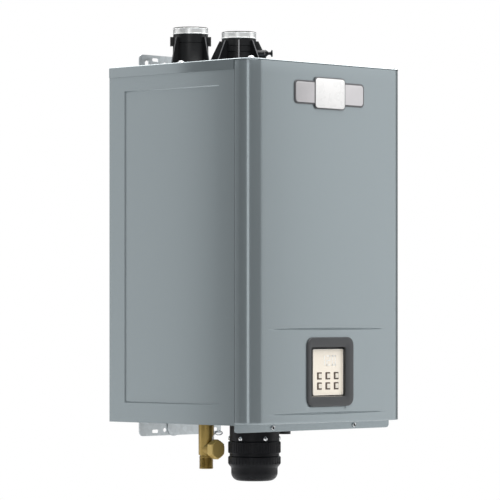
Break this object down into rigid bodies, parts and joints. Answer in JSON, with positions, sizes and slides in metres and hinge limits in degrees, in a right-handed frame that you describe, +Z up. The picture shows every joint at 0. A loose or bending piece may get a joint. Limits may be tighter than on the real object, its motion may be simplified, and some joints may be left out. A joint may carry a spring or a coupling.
{
  "type": "tankless water heater",
  "caption": "Wall-hung condensing gas water heater in a grey sheet-metal case with a keypad, roof vent collars, brass fittings and a scale-filter cartridge.",
  "frame": {"origin": "middle of the upper wall bracket's back face, on the wall plane, at the height of its stud holes", "axes": "+Y into the wall, -Y out of the front cover, +Z up, +X to the viewer's right when facing the front"},
  "size_m": [0.448, 0.405, 0.891],
  "materials": {
    "grey_paint": "semi-gloss powder coat",
    "galvanised": "galvanised sheet",
    "stainless": "bright stainless band",
    "copper": "drawn copper",
    "brass": "turned brass",
    "cast_aluminium": "as cast",
    "black_plastic": "moulded satin",
    "dark_grey_plastic": "moulded satin",
    "cream_plastic": "glossy membrane",
    "white_plastic": "glossy",
    "silver_plastic": "metallic lacquer",
    "rubber": "foam rubber",
    "circuit_board": "solder mask",
    "bright_screw": "zinc plated"
  },
  "bodies": {
    "case": {"back_panel": "grey_paint", "left_side_panel": "grey_paint", "right_side_panel": "grey_paint", "top_panel": "grey_paint", "bottom_panel": "grey_paint", "cover_seal": "rubber", "lid_screw_front_left": "bright_screw", "lid_screw_front_right": "bright_screw", "lid_screw_left": "bright_screw", "upper_wall_bracket": "galvanised", "lower_wall_bracket": "galvanised", "exhaust_collar": "black_plastic", "intake_collar": "black_plastic", "exhaust_clamp_band": "stainless", "intake_clamp_band": "stainless", "exhaust_duct": "white_plastic", "intake_duct": "black_plastic", "fan_housing": "cast_aluminium", "fan_motor": "black_plastic", "burner_head": "cast_aluminium", "igniter": "white_plastic", "primary_heat_exchanger": "copper", "secondary_heat_exchanger": "stainless", "gas_valve": "cast_aluminium", "gas_inlet": "brass", "gas_pipe": "galvanised", "cold_inlet_tee": "brass", "cap_clip": "bright_screw", "flow_sensor": "black_plastic", "cold_pipe": "copper", "hot_pipe": "copper", "hot_outlet_fitting": "brass", "condensate_trap": "black_plastic", "cable_gland": "black_plastic", "cartridge_head": "black_plastic", "cartridge_screw_left": "bright_screw", "cartridge_screw_middle": "bright_screw", "cartridge_screw_right": "bright_screw", "control_box": "galvanised", "control_board": "circuit_board"},
    "cover": {"front_cover": "grey_paint", "cover_screw_left": "bright_screw", "cover_screw_right": "bright_screw", "controller_bezel": "dark_grey_plastic", "controller_plate": "cream_plastic", "display_window": "white_plastic", "controller_board": "circuit_board", "badge_plate": "silver_plastic"},
    "key_1": {"key_1": "cream_plastic"},
    "key_2": {"key_2": "cream_plastic"},
    "key_3": {"key_3": "cream_plastic"},
    "key_4": {"key_4": "cream_plastic"},
    "key_5": {"key_5": "cream_plastic"},
    "key_6": {"key_6": "cream_plastic"},
    "impeller": {"fan_impeller": "cast_aluminium"},
    "turbine": {"flow_turbine": "white_plastic"},
    "strainer_cap": {"inlet_strainer_cap": "brass"},
    "port_plug": {"test_port_plug": "black_plastic"},
    "lock_ring": {"cartridge_lock_ring": "black_plastic"},
    "canister": {"cartridge_canister": "black_plastic"}
  },
  "joints": [
    {"name": "cover_pull", "type": "slide", "parent": "case", "child": "cover", "axis": [0, -1, 0], "range_m": [0, 0.12]},
    {"name": "key_1_press", "type": "slide", "parent": "cover", "child": "key_1", "axis": [0, 1, 0], "range_m": [0, 0.0015], "stiffness_N_per_m": 400},
    {"name": "key_2_press", "type": "slide", "parent": "cover", "child": "key_2", "axis": [0, 1, 0], "range_m": [0, 0.0015], "stiffness_N_per_m": 400},
    {"name": "key_3_press", "type": "slide", "parent": "cover", "child": "key_3", "axis": [0, 1, 0], "range_m": [0, 0.0015], "stiffness_N_per_m": 400},
    {"name": "key_4_press", "type": "slide", "parent": "cover", "child": "key_4", "axis": [0, 1, 0], "range_m": [0, 0.0015], "stiffness_N_per_m": 400},
    {"name": "key_5_press", "type": "slide", "parent": "cover", "child": "key_5", "axis": [0, 1, 0], "range_m": [0, 0.0015], "stiffness_N_per_m": 400},
    {"name": "key_6_press", "type": "slide", "parent": "cover", "child": "key_6", "axis": [0, 1, 0], "range_m": [0, 0.0015], "stiffness_N_per_m": 400},
    {"name": "fan_spin", "type": "hinge", "parent": "case", "child": "impeller", "pos_m": [-0.137, -0.265, -0.19], "axis": [0, 0, 1], "continuous": true},
    {"name": "flow_spin", "type": "hinge", "parent": "case", "child": "turbine", "pos_m": [-0.1425, -0.204, -0.685], "axis": [0, 0, 1], "continuous": true},
    {"name": "strainer_unscrew", "type": "hinge", "parent": "case", "child": "strainer_cap", "pos_m": [-0.1425, -0.2238, -0.77155], "axis": [0, -1, 0], "continuous": true},
    {"name": "port_plug_pull", "type": "slide", "parent": "case", "child": "port_plug", "axis": [0.6947, -0.7193, 0], "range_m": [0, 0.03]},
    {"name": "ring_turn", "type": "hinge", "parent": "case", "child": "lock_ring", "pos_m": [-0.1045, -0.299, -0.7664], "axis": [0, 0, -1], "range_deg": [0, 60]},
    {"name": "canister_drop", "type": "slide", "parent": "case", "child": "canister", "axis": [0, 0, -1], "range_m": [0, 0.06]}
  ]
}
